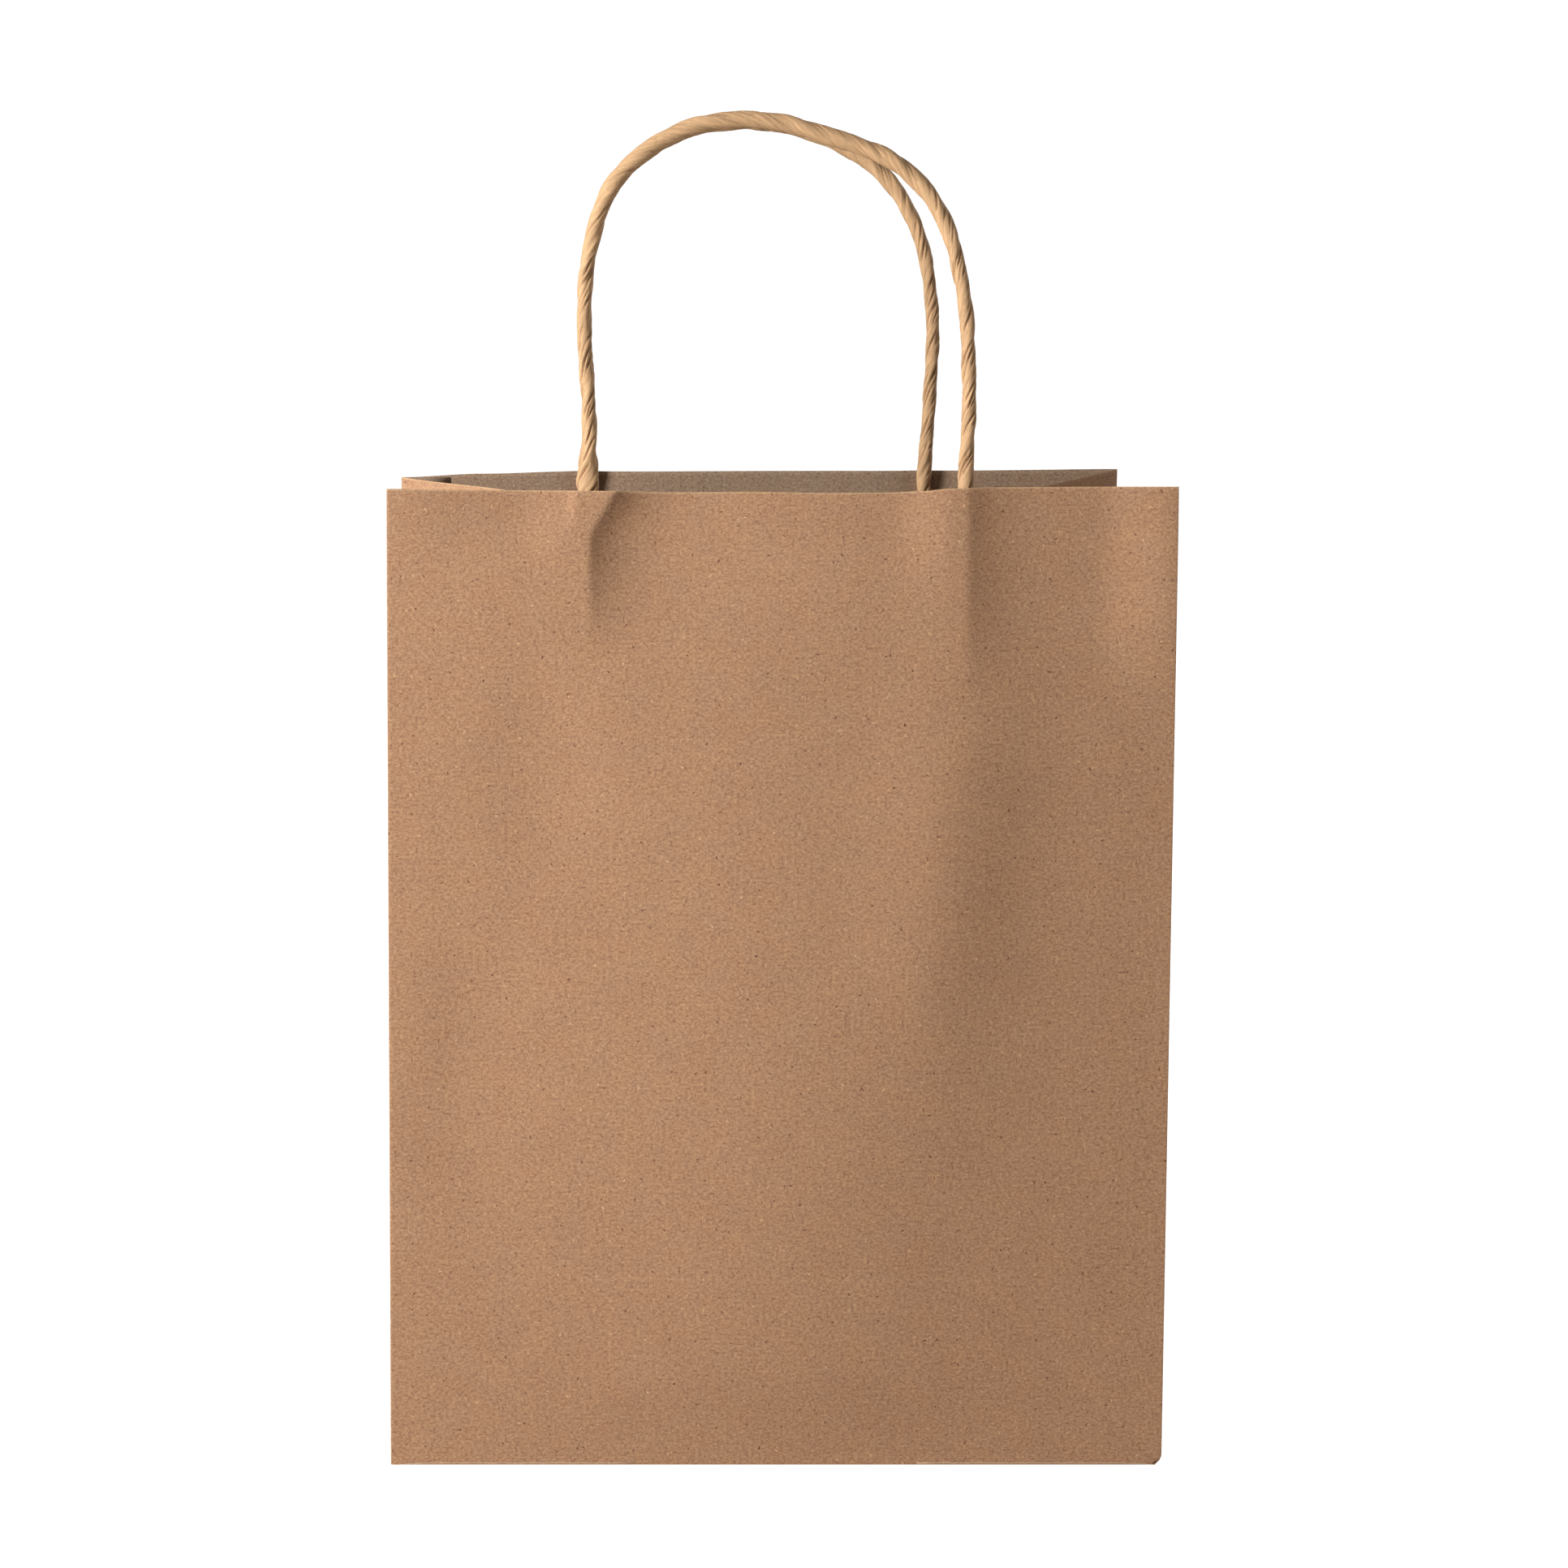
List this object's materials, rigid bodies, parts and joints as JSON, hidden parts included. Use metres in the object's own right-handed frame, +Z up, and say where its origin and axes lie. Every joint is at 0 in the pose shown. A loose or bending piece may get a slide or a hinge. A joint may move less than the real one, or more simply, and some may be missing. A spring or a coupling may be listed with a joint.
{
  "type": "paper gift bag",
  "caption": "Plain brown kraft paper carrier bag with a block bottom, folded side gussets, and twisted paper cord handles glued inside patches at the rim.",
  "frame": {"origin": "middle of the underside of the base, on the surface that the bag stands on", "axes": "+Z up through the mouth, -Y out of the front panel, +X to the right of a person who faces the front panel"},
  "size_m": [0.2198, 0.11, 0.3849],
  "materials": {
    "kraft_paper": "uncoated brown kraft paper, matte, with short fibres and specks",
    "patch_paper": "uncoated brown kraft paper, matte",
    "cord_paper": "twisted strip of light kraft paper, matte, with helical creases"
  },
  "bodies": {
    "bag": {"front_panel": "kraft_paper", "back_panel": "kraft_paper", "left_gusset_foot": "kraft_paper", "left_gusset_front_outer": "kraft_paper", "left_gusset_front_inner": "kraft_paper", "left_gusset_back_outer": "kraft_paper", "left_gusset_back_inner": "kraft_paper", "right_gusset_foot": "kraft_paper", "right_gusset_front_outer": "kraft_paper", "right_gusset_front_inner": "kraft_paper", "right_gusset_back_outer": "kraft_paper", "right_gusset_back_inner": "kraft_paper", "back_base_flap": "kraft_paper", "front_base_flap": "kraft_paper", "left_base_flap": "kraft_paper", "right_base_flap": "kraft_paper", "seam_flap": "kraft_paper", "front_patch_backing": "patch_paper", "front_patch_cover": "patch_paper", "front_cord_ends": "cord_paper", "back_patch_backing": "patch_paper", "back_patch_cover": "patch_paper", "back_cord_ends": "cord_paper"},
    "front_handle": {"front_handle": "cord_paper"},
    "back_handle": {"back_handle": "cord_paper"}
  },
  "joints": [
    {"name": "front_handle_tilt", "type": "hinge", "parent": "bag", "child": "front_handle", "pos_m": [0, -0.03929, 0.28008], "axis": [1, 0, 0], "range_deg": [-18, 90], "stiffness_Nm_per_rad": 0.02},
    {"name": "back_handle_tilt", "type": "hinge", "parent": "bag", "child": "back_handle", "pos_m": [0, 0.03929, 0.28008], "axis": [-1, 0, 0], "range_deg": [-18, 90], "stiffness_Nm_per_rad": 0.02}
  ]
}
